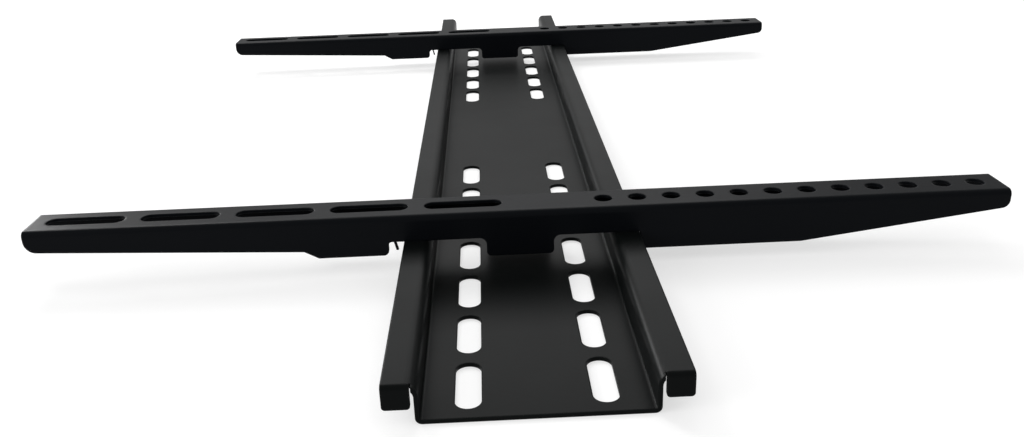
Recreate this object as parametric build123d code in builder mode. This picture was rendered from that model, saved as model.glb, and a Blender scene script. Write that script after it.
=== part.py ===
from build123d import *
import os

# Fixed TV wall bracket: a folded wall plate and two hooked screen arms, in millimetres.
# It lies on its back. Z = 0 is the wall face and +Z points out of the wall, +Y points up the wall,
# and X runs along the plate. The origin is the centre of the plate's back face.

os.makedirs("parts", exist_ok=True)

# Wall plate: one folded steel sheet
plate_thickness = 1.5
plate_length = 640.0
channel_width = 80.4      # over the outer faces of the two risers
rail_height = 14.6        # wall face to the top of the flanges that the arms hook on
flange_reach = 10.6       # riser's outer face to the flange's edge
base_bend = 0.8           # inside radius between base and riser
rail_bend = 3.0           # inside radius between riser and flange

# Stop tabs: the flange ends, folded down so that an arm can't slide off
tab_drop = 8.9            # flange top to the tab's lower edge
tab_width = 9.4
tab_bend = 0.3            # inside radius of the fold
tab_corner = 1.3
relief_slit = 0.4         # slit that frees the tab from the riser's bend
relief_lead = 0.2         # length of the slit before the fold begins

# Wall slots: two columns of long slots at each end of the base
slot_length = 29.0
slot_width = 9.0
slot_pitch = 36.0
slots_per_group = 7
column_spacing = 46.2
slot_end_margin = 19.9    # plate end to the first slot's centre

# Screen arm: one folded steel channel, the same on both sides
arm_thickness = 1.5
arm_length = 424.6
arm_width = 23.0
arm_rise = 11.6           # flange top to the arm's face
arm_bend = 1.0            # inside radius between the face and a side wall
right_arm_place = 192.5   # X of each arm's middle
left_arm_place = -195.5

# Side walls of an arm: drops are below the flange top, depths are below the arm's face
lower_end_depth = 9.3
waist_drop = 2.9
catch_gap = 6.8           # lower flange's edge to the catch, room to lift the hook off
catch_length = 30.4
catch_slope = 6.1
catch_drop = 6.2
tongue_offset = -0.8      # Y of the tongue's middle
tongue_width = 29.2
tongue_drop = 8.5
hook_drop = 8.1
hook_engagement = 5.5     # length of the hook's nose behind the upper flange
hook_clearance = 0.3      # play between the hook and the upper flange
hook_knee = 71.0          # upper flange's edge to the start of the upper taper
upper_end_depth = 7.9
finger_gap = 3.5          # lower flange's edge to the root of the slim finger in the catch's notch
finger_width = 1.0
finger_drop = 3.8
finger_lean = 0.9         # how far the finger's foot leans towards the flange
lower_end_corner = 5.0
upper_end_corner = 3.5
catch_corner = 2.4
wall_corner = 2.0
notch_corner = 1.5
tongue_root = 3.0

# Screen holes: long slots in the lower half of an arm's face, round holes in the upper half
screen_hole_diameter = 8.0
screen_hole_pitch = 15.0
screen_hole_end_margin = 10.8   # upper end to the last hole's centre
screen_slot_length = 34.0
screen_slot_width = 8.0
screen_slot_pitch = 41.0
screen_slot_count = 5
screen_slot_end_margin = 23.2   # lower end to the first slot's centre
screen_row_gap = 40.0           # least bare length from the last slot to the first hole's centre

# Places worked out from the sizes above
riser_face = channel_width / 2
flange_edge = riser_face + flange_reach
flange_underside = rail_height - plate_thickness
plate_end = plate_length / 2
fold_start = plate_end - tab_bend - plate_thickness - relief_lead
tab_foot = rail_height - tab_drop
tab_inner_edge = flange_edge - tab_width
slot_group_middle = plate_end - slot_end_margin - slot_pitch * (slots_per_group - 1) / 2
arm_top = rail_height + arm_rise
arm_end = arm_length / 2
screen_slot_row = (screen_slot_count - 1) * screen_slot_pitch + screen_slot_length / 2
hole_room = arm_length - screen_slot_end_margin - screen_slot_row - screen_row_gap - screen_hole_end_margin
screen_hole_count = int(hole_room / screen_hole_pitch) + 1

# Wall plate: one quarter is folded, slotted and finished with its stop tab, then mirrored twice
with BuildPart() as wall_plate:
    with BuildSketch(Plane.YZ):
        with BuildLine():
            back = FilletPolyline(
                (0, 0),
                (riser_face, 0),
                (riser_face, flange_underside),
                (flange_edge, flange_underside),
                radius=[base_bend + plate_thickness, rail_bend],
            )
            offset(back, amount=plate_thickness, side=Side.LEFT)
        make_face()
    extrude(amount=plate_end)
    with BuildSketch():
        with Locations((slot_group_middle, column_spacing / 2)):
            with GridLocations(slot_pitch, column_spacing, slots_per_group, 1):
                SlotOverall(slot_length, slot_width)
    extrude(amount=plate_thickness, mode=Mode.SUBTRACT)
    # the flange's end is freed from the riser's bend and folded down
    with BuildSketch():
        with Locations((fold_start, tab_inner_edge - relief_slit)):
            Rectangle(plate_end - fold_start, tab_width + relief_slit, align=(Align.MIN, Align.MIN))
    extrude(amount=rail_height, mode=Mode.SUBTRACT)
    with BuildSketch(Plane.XZ.offset(-flange_edge)):
        with BuildLine():
            fold = FilletPolyline(
                (fold_start, rail_height),
                (plate_end, rail_height),
                (plate_end, tab_foot),
                radius=tab_bend + plate_thickness,
            )
            offset(fold, amount=plate_thickness, side=Side.RIGHT)
        make_face()
    extrude(amount=tab_width)
    level_faces = wall_plate.faces().filter_by(Axis.Z)
    tab_feet = level_faces.filter_by_position(Axis.Z, tab_foot - 0.01, tab_foot + 0.01)
    fillet(tab_feet.edges().filter_by(Axis.X), radius=tab_corner)
    mirror(about=Plane.YZ)
    mirror(about=Plane.XZ)
wall_plate.part.label = "wall_plate"
export_step(wall_plate.part, "parts/wall_plate.step")

# Screen arm outline seen from the side, as Y and Z, from the lower end to the upper end
waist = rail_height - waist_drop
catch_edge = -flange_edge - catch_gap
catch_foot = rail_height - catch_drop
finger_side = -flange_edge - finger_gap
finger_foot = rail_height - finger_drop
tongue_lower = tongue_offset - tongue_width / 2
tongue_upper = tongue_offset + tongue_width / 2
tongue_foot = rail_height - tongue_drop
hook_seat = flange_edge + hook_clearance
hook_nose = flange_edge - hook_engagement
nose_top = flange_underside - hook_clearance
hook_foot = rail_height - hook_drop
knee = flange_edge + hook_knee
side_outline = [
    (-arm_end, arm_top),
    (-arm_end, arm_top - lower_end_depth),
    (catch_edge - catch_length - catch_slope, waist),
    (catch_edge - catch_length, catch_foot),
    (catch_edge, catch_foot),
    (catch_edge, rail_height),
    (finger_side - finger_width, rail_height),
    (finger_side - finger_width + finger_lean, finger_foot),
    (finger_side + finger_lean, finger_foot),
    (finger_side, rail_height),
    (tongue_lower, rail_height),
    (tongue_lower, tongue_foot),
    (tongue_upper, tongue_foot),
    (tongue_upper, rail_height),
    (hook_seat, rail_height),
    (hook_seat, nose_top),
    (hook_nose, nose_top),
    (hook_nose, hook_foot),
    (knee, hook_foot),
    (arm_end, arm_top - upper_end_depth),
    (arm_end, arm_top),
]
corner_rounds = [
    ((-arm_end, arm_top - lower_end_depth), lower_end_corner),
    ((catch_edge, catch_foot), catch_corner),
    ((catch_edge, rail_height), notch_corner),
    ((tongue_lower, rail_height), tongue_root),
    ((tongue_lower, tongue_foot), wall_corner),
    ((tongue_upper, tongue_foot), wall_corner),
    ((tongue_upper, rail_height), tongue_root),
    ((hook_nose, nose_top), notch_corner),
    ((hook_nose, hook_foot), wall_corner),
    ((arm_end, arm_top - upper_end_depth), upper_end_corner),
]

# Screen arms: a folded channel, trimmed to the side outline and punched for the screen's screws
arm_places = {"right_arm": right_arm_place, "left_arm": left_arm_place}
for name, place in arm_places.items():
    with BuildPart() as arm:
        with BuildSketch(Plane.XZ.shift_origin((place, 0, 0))):
            with BuildLine():
                skin = FilletPolyline(
                    (-arm_width / 2, 0),
                    (-arm_width / 2, arm_top),
                    (arm_width / 2, arm_top),
                    (arm_width / 2, 0),
                    radius=arm_bend + arm_thickness,
                )
                offset(skin, amount=arm_thickness, side=Side.RIGHT)
            make_face()
        extrude(amount=arm_end, both=True)
        with BuildSketch(Plane.YZ.offset(place)) as side:
            with BuildLine():
                Polyline(*side_outline, close=True)
            make_face()
            for corner, radius in corner_rounds:
                fillet(side.vertices().sort_by_distance(corner)[0], radius=radius)
        extrude(amount=arm_width, both=True, mode=Mode.INTERSECT)
        with BuildSketch(Plane.XY.offset(arm_top - arm_thickness)):
            for k in range(screen_slot_count):
                with Locations((place, screen_slot_end_margin - arm_end + k * screen_slot_pitch)):
                    SlotOverall(screen_slot_length, screen_slot_width, rotation=90)
            for k in range(screen_hole_count):
                with Locations((place, arm_end - screen_hole_end_margin - k * screen_hole_pitch)):
                    Circle(screen_hole_diameter / 2)
        extrude(amount=arm_thickness, mode=Mode.SUBTRACT)
    arm.part.label = name
    export_step(arm.part, f"parts/{name}.step")
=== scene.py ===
"""Dresses a folded steel wall bracket in its powder coat, lights it and sets the camera."""
import logging
from dataclasses import dataclass
from enum import Enum
from math import cos, radians, sin
from typing import Any

import bmesh
import bpy
from mathutils import Matrix, Vector


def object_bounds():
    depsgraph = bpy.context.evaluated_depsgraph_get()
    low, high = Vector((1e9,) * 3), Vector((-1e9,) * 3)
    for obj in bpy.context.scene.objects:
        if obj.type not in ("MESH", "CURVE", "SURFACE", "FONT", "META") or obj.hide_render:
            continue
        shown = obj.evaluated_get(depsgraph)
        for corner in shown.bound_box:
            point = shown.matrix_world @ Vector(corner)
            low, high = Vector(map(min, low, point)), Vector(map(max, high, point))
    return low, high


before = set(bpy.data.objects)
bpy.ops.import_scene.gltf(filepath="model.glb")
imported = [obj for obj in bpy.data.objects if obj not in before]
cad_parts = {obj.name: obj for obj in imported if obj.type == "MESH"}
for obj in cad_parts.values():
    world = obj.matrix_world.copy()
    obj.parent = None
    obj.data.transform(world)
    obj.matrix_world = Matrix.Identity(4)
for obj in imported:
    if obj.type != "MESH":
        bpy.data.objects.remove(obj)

LOG = logging.getLogger("wall_bracket")
MM = 0.001
CAD_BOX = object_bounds()


class SeenBy(Enum):
    """Rays that see the floor's white, named as Light Path's outputs are."""

    CAMERA = "Is Camera Ray"
    GLOSSY = "Is Glossy Ray"
    TRANSMISSION = "Is Transmission Ray"


class Arm(Enum):
    """The two screen arms, by the name of their node."""

    RIGHT = "right_arm"
    LEFT = "left_arm"


def linear(hex_colour: str) -> tuple[float, float, float, float]:
    """Turn an sRGB hex colour to linear values, by the standard's own curve.

    Args:
        hex_colour: Six hex digits, such as "1a1a1a".

    Returns:
        Red, green, blue and an alpha of 1, in linear light.
    """
    channels = [int(hex_colour[i:i + 2], 16) / 255 for i in (0, 2, 4)]
    red, green, blue = [
        c / 12.92 if c <= 0.04045 else ((c + 0.055) / 1.055) ** 2.4 for c in channels
    ]
    return red, green, blue, 1.0


def scale_for(size_mm: float) -> float:
    """Give the texture scale on Object coordinates whose features are size_mm apart."""
    return 1 / (size_mm * MM)


def add_node(
    tree: bpy.types.NodeTree,
    kind: str,
    inputs: dict[str | int, Any] | None = None,
    **settings: Any,
) -> bpy.types.Node:
    """Add a node with its settings, and fill or link its inputs.

    Args:
        tree: The node tree that gets the node.
        kind: The node's type, such as "ShaderNodeTexNoise".
        inputs: For each input's name or number, a constant or the output that feeds it.
        **settings: The node's own attributes, such as operation="MULTIPLY".

    Returns:
        The new node.
    """
    node = tree.nodes.new(kind)
    for name, value in settings.items():
        setattr(node, name, value)
    for key, value in (inputs or {}).items():
        if isinstance(value, bpy.types.NodeSocket):
            tree.links.new(value, node.inputs[key])
        else:
            node.inputs[key].default_value = value
    return node


@dataclass(frozen=True)
class PowderCoat:
    """Polyester powder coat, sprayed dry on steel sheet and baked.

    The film flows out to a soft orange peel, is dulled by a fine matting grain, clouds a little
    in tone and gloss with its thickness, and pulls thinner and round over each sheared edge. There
    the colour is a lighter grey, partly the thinner film and partly a painted highlight.
    """

    name: str
    colour: str
    thick_colour: str
    # Lighter grey on each edge: partly the thinner film, partly a painted highlight
    edge_film_and_highlight_colour: str
    roughness: float
    roughness_swing: float
    specular: float
    # Slow clouds of film thickness, and the part of their range that sways the gloss
    cloud_mm: float = 70.0
    cloud_detail: float = 3.0
    cloud_thin: float = 0.3
    cloud_thick: float = 0.7
    peel_mm: float = 2.2
    peel_depth_mm: float = 0.02
    # A real matting grain is about a tenth of this, too fine to show, so it is drawn coarser
    grain_mm: float = 0.7
    grain_depth_mm: float = 0.008
    relief_detail: float = 2.0
    relief_sharpness: float = 0.4
    # Shearing and punching roll each edge over, and the film rounds it further
    edge_mm: float = 1.0
    edge_samples: int = 6
    # Cosines between the flat and the rounded normal where the lighter edge line starts and is
    # full:
    # partly the thinner film, partly a painted highlight
    edge_line_start_cosine: float = 0.97
    edge_line_full_cosine: float = 0.75

    def material(self) -> bpy.types.Material:
        """Make the coat's procedural material.

        Returns:
            The material, read on Object coordinates.
        """
        material = bpy.data.materials.new(self.name)
        material.use_nodes = True
        tree = material.node_tree
        tree.nodes.clear()
        place = add_node(tree, "ShaderNodeTexCoord").outputs["Object"]
        cloud = add_node(
            tree, "ShaderNodeTexNoise",
            {"Vector": place, "Scale": scale_for(self.cloud_mm), "Detail": self.cloud_detail},
        ).outputs["Fac"]
        edge = add_node(
            tree, "ShaderNodeBevel", {"Radius": self.edge_mm * MM}, samples=self.edge_samples
        ).outputs["Normal"]
        shader = add_node(
            tree, "ShaderNodeBsdfPrincipled",
            {
                "Base Color": self.tone(tree, cloud, edge),
                "Roughness": self.gloss(tree, cloud),
                "Specular IOR Level": self.specular,
                "Normal": self.relief(tree, place, edge),
            },
        )
        add_node(tree, "ShaderNodeOutputMaterial", {"Surface": shader.outputs["BSDF"]})
        return material

    def tone(
        self, tree: bpy.types.NodeTree, cloud: bpy.types.NodeSocket, edge: bpy.types.NodeSocket
    ) -> bpy.types.NodeSocket:
        """Add the nodes of the coat's colour: clouded, and a lighter grey on each edge, partly the
        thinner film and partly a painted highlight.

        Args:
            tree: The coat's node tree.
            cloud: How thick the film is, from 0 to 1.
            edge: The normal of the rounded edges.

        Returns:
            The colour's output.
        """
        film = add_node(
            tree, "ShaderNodeMix",
            {"Factor": cloud, "A": linear(self.colour), "B": linear(self.thick_colour)},
            data_type="RGBA",
        )
        flat = add_node(tree, "ShaderNodeNewGeometry").outputs["Normal"]
        agreement = add_node(
            tree, "ShaderNodeVectorMath", {0: edge, 1: flat}, operation="DOT_PRODUCT"
        )
        edge_line_mask = add_node(
            tree, "ShaderNodeMapRange",
            {
                "Value": agreement.outputs["Value"],
                "From Min": self.edge_line_start_cosine,
                "From Max": self.edge_line_full_cosine,
            },
        )
        # Painted highlight along each edge, mixed toward a lighter grey that is partly the thinner
        # film's tone
        edged = add_node(
            tree, "ShaderNodeMix",
            {
                "Factor": edge_line_mask.outputs["Result"],
                "A": film.outputs["Result"],
                "B": linear(self.edge_film_and_highlight_colour),
            },
            data_type="RGBA",
        )
        return edged.outputs["Result"]

    def gloss(self, tree: bpy.types.NodeTree, cloud: bpy.types.NodeSocket) -> bpy.types.NodeSocket:
        """Add the node of the coat's roughness: a little glossier where the film ran thick.

        Args:
            tree: The coat's node tree.
            cloud: How thick the film is, from 0 to 1.

        Returns:
            The roughness output.
        """
        spread = add_node(
            tree, "ShaderNodeMapRange",
            {
                "Value": cloud,
                "From Min": self.cloud_thin,
                "From Max": self.cloud_thick,
                "To Min": self.roughness + self.roughness_swing,
                "To Max": self.roughness - self.roughness_swing,
            },
        )
        return spread.outputs["Result"]

    def relief(
        self, tree: bpy.types.NodeTree, place: bpy.types.NodeSocket, edge: bpy.types.NodeSocket
    ) -> bpy.types.NodeSocket:
        """Add the nodes of the coat's relief: orange peel, then grain, over rounded edges.

        Args:
            tree: The coat's node tree.
            place: The Object coordinates.
            edge: The normal of the rounded edges.

        Returns:
            The normal's output.
        """
        layers = (
            (self.peel_mm, self.peel_depth_mm),
            (self.grain_mm, self.grain_depth_mm),
        )
        normal = edge
        for size_mm, depth_mm in layers:
            height = add_node(
                tree, "ShaderNodeTexNoise",
                {
                    "Vector": place,
                    "Scale": scale_for(size_mm),
                    "Detail": self.relief_detail,
                    "Roughness": self.relief_sharpness,
                },
            )
            bump = add_node(
                tree, "ShaderNodeBump",
                {"Distance": depth_mm * MM, "Height": height.outputs["Fac"], "Normal": normal},
            )
            normal = bump.outputs["Normal"]
        return normal


@dataclass(frozen=True)
class StudioWhite:
    """Matt white painted board: it keeps soft shadows and looks white to the eye."""

    name: str
    colour: str
    glow: float

    def material(self) -> bpy.types.Material:
        """Make the board's material.

        Returns:
            The material, whose glow is seen by the eye and in reflections, and lights nothing else.
        """
        material = bpy.data.materials.new(self.name)
        material.use_nodes = True
        tree = material.node_tree
        tree.nodes.clear()
        board = add_node(tree, "ShaderNodeBsdfDiffuse", {"Color": linear(self.colour)})
        path = add_node(tree, "ShaderNodeLightPath")
        seen = path.outputs[SeenBy.CAMERA.value]
        for kind in (SeenBy.GLOSSY, SeenBy.TRANSMISSION):
            joined = add_node(
                tree, "ShaderNodeMath", {0: seen, 1: path.outputs[kind.value]}, operation="MAXIMUM"
            )
            seen = joined.outputs[0]
        level = add_node(tree, "ShaderNodeMath", {0: seen, 1: self.glow}, operation="MULTIPLY")
        glow = add_node(tree, "ShaderNodeEmission", {"Strength": level.outputs[0]})
        both = add_node(
            tree, "ShaderNodeAddShader", {0: board.outputs["BSDF"], 1: glow.outputs["Emission"]}
        )
        add_node(tree, "ShaderNodeOutputMaterial", {"Surface": both.outputs["Shader"]})
        return material


# Satin black polyester powder coat: near black on faces seen straight on, with a broad soft sheen
# on faces seen at a slant and a fine bright line on each bend. A typical specular level of 0.5 is
# matched down to the object, whose side walls stay near black although they face a white floor.
PLATE_COAT = PowderCoat(
    name="satin_black_powder_coat_plate",
    colour="0b0d0d",
    thick_colour="0e1010",
    # Edge grey: partly the thinner film, partly a painted highlight
    edge_film_and_highlight_colour="1b1d1d",
    roughness=0.36,
    roughness_swing=0.03,
    specular=0.04,
)
# The same coat from another rack: a shade cooler and flatter, so the arms look softer.
ARM_COAT = PowderCoat(
    name="satin_black_powder_coat_arm",
    colour="0a0c0f",
    thick_colour="0d0f12",
    # Edge grey: partly the thinner film, partly a painted highlight
    edge_film_and_highlight_colour="1a1c1f",
    roughness=0.37,
    roughness_swing=0.03,
    specular=0.04,
)
# White painted board: pale and even, with the bracket's soft shadow on it.
FLOOR_WHITE = StudioWhite(name="white_painted_board", colour="b4b4b4", glow=0.6)


def dress(node: str, coat: PowderCoat) -> None:
    """Give every material slot of a node's object one coat.

    Args:
        node: The node's name.
        coat: The finish to use.
    """
    node_object = bpy.data.objects[node]
    material = bpy.data.materials.get(coat.name) or coat.material()
    for slot in node_object.material_slots:
        slot.material = material
    LOG.info("%s wears %s", node, coat.name)


@dataclass
class WallPlate:
    """The slotted plate that is bolted to the wall: one folded sheet with hook rails."""

    node: str = "wall_plate"
    coat: PowderCoat = PLATE_COAT

    def dress(self) -> None:
        """Coat the plate."""
        dress(self.node, self.coat)


@dataclass
class ScreenArm:
    """A channel that is screwed to the screen and hooks on the plate's rails."""

    arm: Arm
    coat: PowderCoat = ARM_COAT

    def dress(self) -> None:
        """Coat the arm."""
        dress(self.arm.value, self.coat)


@dataclass
class SoftBox:
    """A square soft lamp that points at the bracket's middle.

    Its place is a turn about +Z from +X, a rise above the floor and a distance.
    """

    name: str
    turn_deg: float
    rise_deg: float
    distance_mm: float
    width_mm: float
    watts: float

    def build(self) -> None:
        """Add the lamp to the scene."""
        turn, rise = radians(self.turn_deg), radians(self.rise_deg)
        outward = Vector((cos(rise) * cos(turn), cos(rise) * sin(turn), sin(rise)))
        lamp = bpy.data.lights.new(self.name, "AREA")
        lamp.shape = "SQUARE"
        lamp.size = self.width_mm * MM
        lamp.energy = self.watts
        lamp_object = bpy.data.objects.new(self.name, lamp)
        lamp_object.location = outward * self.distance_mm * MM
        lamp_object.rotation_euler = (-outward).to_track_quat("-Z", "Y").to_euler()
        bpy.context.scene.collection.objects.link(lamp_object)
        LOG.info("%s stands %.0f mm away", self.name, self.distance_mm)


@dataclass
class Studio:
    """A white floor under an even pale sky, with soft lamps."""

    floor_mm: float = 40000.0
    floor_gap_mm: float = 0.2
    sky_colour: str = "ffffff"
    sky_strength: float = 0.62
    lamps: tuple[SoftBox, ...] = (
        # Draws the bright lines along the bends and the rims of the slots
        SoftBox(
            "key_softbox",
            turn_deg=219.0, rise_deg=13.5, distance_mm=4500.0, width_mm=1000.0, watts=76.0,
        ),
        # Gives the faces that look up their sheen
        SoftBox(
            "back_softbox",
            turn_deg=176.5, rise_deg=46.7, distance_mm=1170.0, width_mm=900.0, watts=5.4,
        ),
        # Carries that sheen on along the lower half of each arm
        SoftBox(
            "left_softbox",
            turn_deg=217.0, rise_deg=42.0, distance_mm=1220.0, width_mm=300.0, watts=3.8,
        ),
        # Lifts the side walls that turn towards the camera
        SoftBox(
            "front_softbox",
            turn_deg=296.6, rise_deg=20.0, distance_mm=2400.0, width_mm=1200.0, watts=18.0,
        ),
    )

    def build_floor(self) -> None:
        """Lay the floor just below the bracket."""
        height = CAD_BOX[0].z - self.floor_gap_mm * MM
        mesh = bpy.data.meshes.new("floor")
        shape = bmesh.new()
        bmesh.ops.create_grid(shape, x_segments=1, y_segments=1, size=self.floor_mm * MM / 2)
        bmesh.ops.translate(shape, verts=shape.verts, vec=(0, 0, height))
        shape.to_mesh(mesh)
        shape.free()
        mesh.materials.append(FLOOR_WHITE.material())
        floor = bpy.data.objects.new("floor", mesh)
        bpy.context.scene.collection.objects.link(floor)

    def build_sky(self) -> None:
        """Make the world: one even pale light from every side."""
        world = bpy.data.worlds.new("studio_sky")
        world.use_nodes = True
        tree = world.node_tree
        tree.nodes.clear()
        sky = add_node(
            tree, "ShaderNodeBackground",
            {"Color": linear(self.sky_colour), "Strength": self.sky_strength},
        )
        add_node(tree, "ShaderNodeOutputWorld", {"Surface": sky.outputs["Background"]})
        bpy.context.scene.world = world

    def build(self) -> None:
        """Build the floor, the sky and the lamps."""
        self.build_floor()
        self.build_sky()
        for lamp in self.lamps:
            lamp.build()


@dataclass
class PhotoCamera:
    """The camera that took the picture, fitted to the bracket's corners."""

    place_mm: tuple[float, float, float] = (580.58, -12.01, 176.96)
    pitch_down_deg: float = 22.216
    yaw_deg: float = 1.207
    roll_deg: float = -2.074
    focal_px: float = 950.0
    image_width_px: float = 1024.0
    sensor_mm: float = 36.0
    near_clip_mm: float = 10.0

    def build(self) -> None:
        """Add the camera and make it the scene's own."""
        camera = bpy.data.cameras.new("camera")
        camera.sensor_fit = "HORIZONTAL"
        camera.sensor_width = self.sensor_mm
        camera.lens = self.focal_px * self.sensor_mm / self.image_width_px
        camera.clip_start = self.near_clip_mm * MM
        camera_object = bpy.data.objects.new("camera", camera)
        # An unturned camera looks down: a right angle lifts it to the level, another turns it to -X
        camera_object.matrix_world = (
            Matrix.Translation(Vector(self.place_mm) * MM)
            @ Matrix.Rotation(radians(90 - self.yaw_deg), 4, "Z")
            @ Matrix.Rotation(radians(90 - self.pitch_down_deg), 4, "X")
            @ Matrix.Rotation(radians(self.roll_deg), 4, "Z")
        )
        bpy.context.scene.collection.objects.link(camera_object)
        bpy.context.scene.camera = camera_object


def main() -> None:
    """Dress the bracket, build the studio and set the camera."""
    logging.basicConfig(level=logging.INFO, format="%(name)s: %(message)s")
    bpy.context.scene.view_settings.view_transform = "Standard"
    WallPlate().dress()
    for arm in Arm:
        ScreenArm(arm).dress()
    Studio().build()
    PhotoCamera().build()


if __name__ == "__main__":
    main()
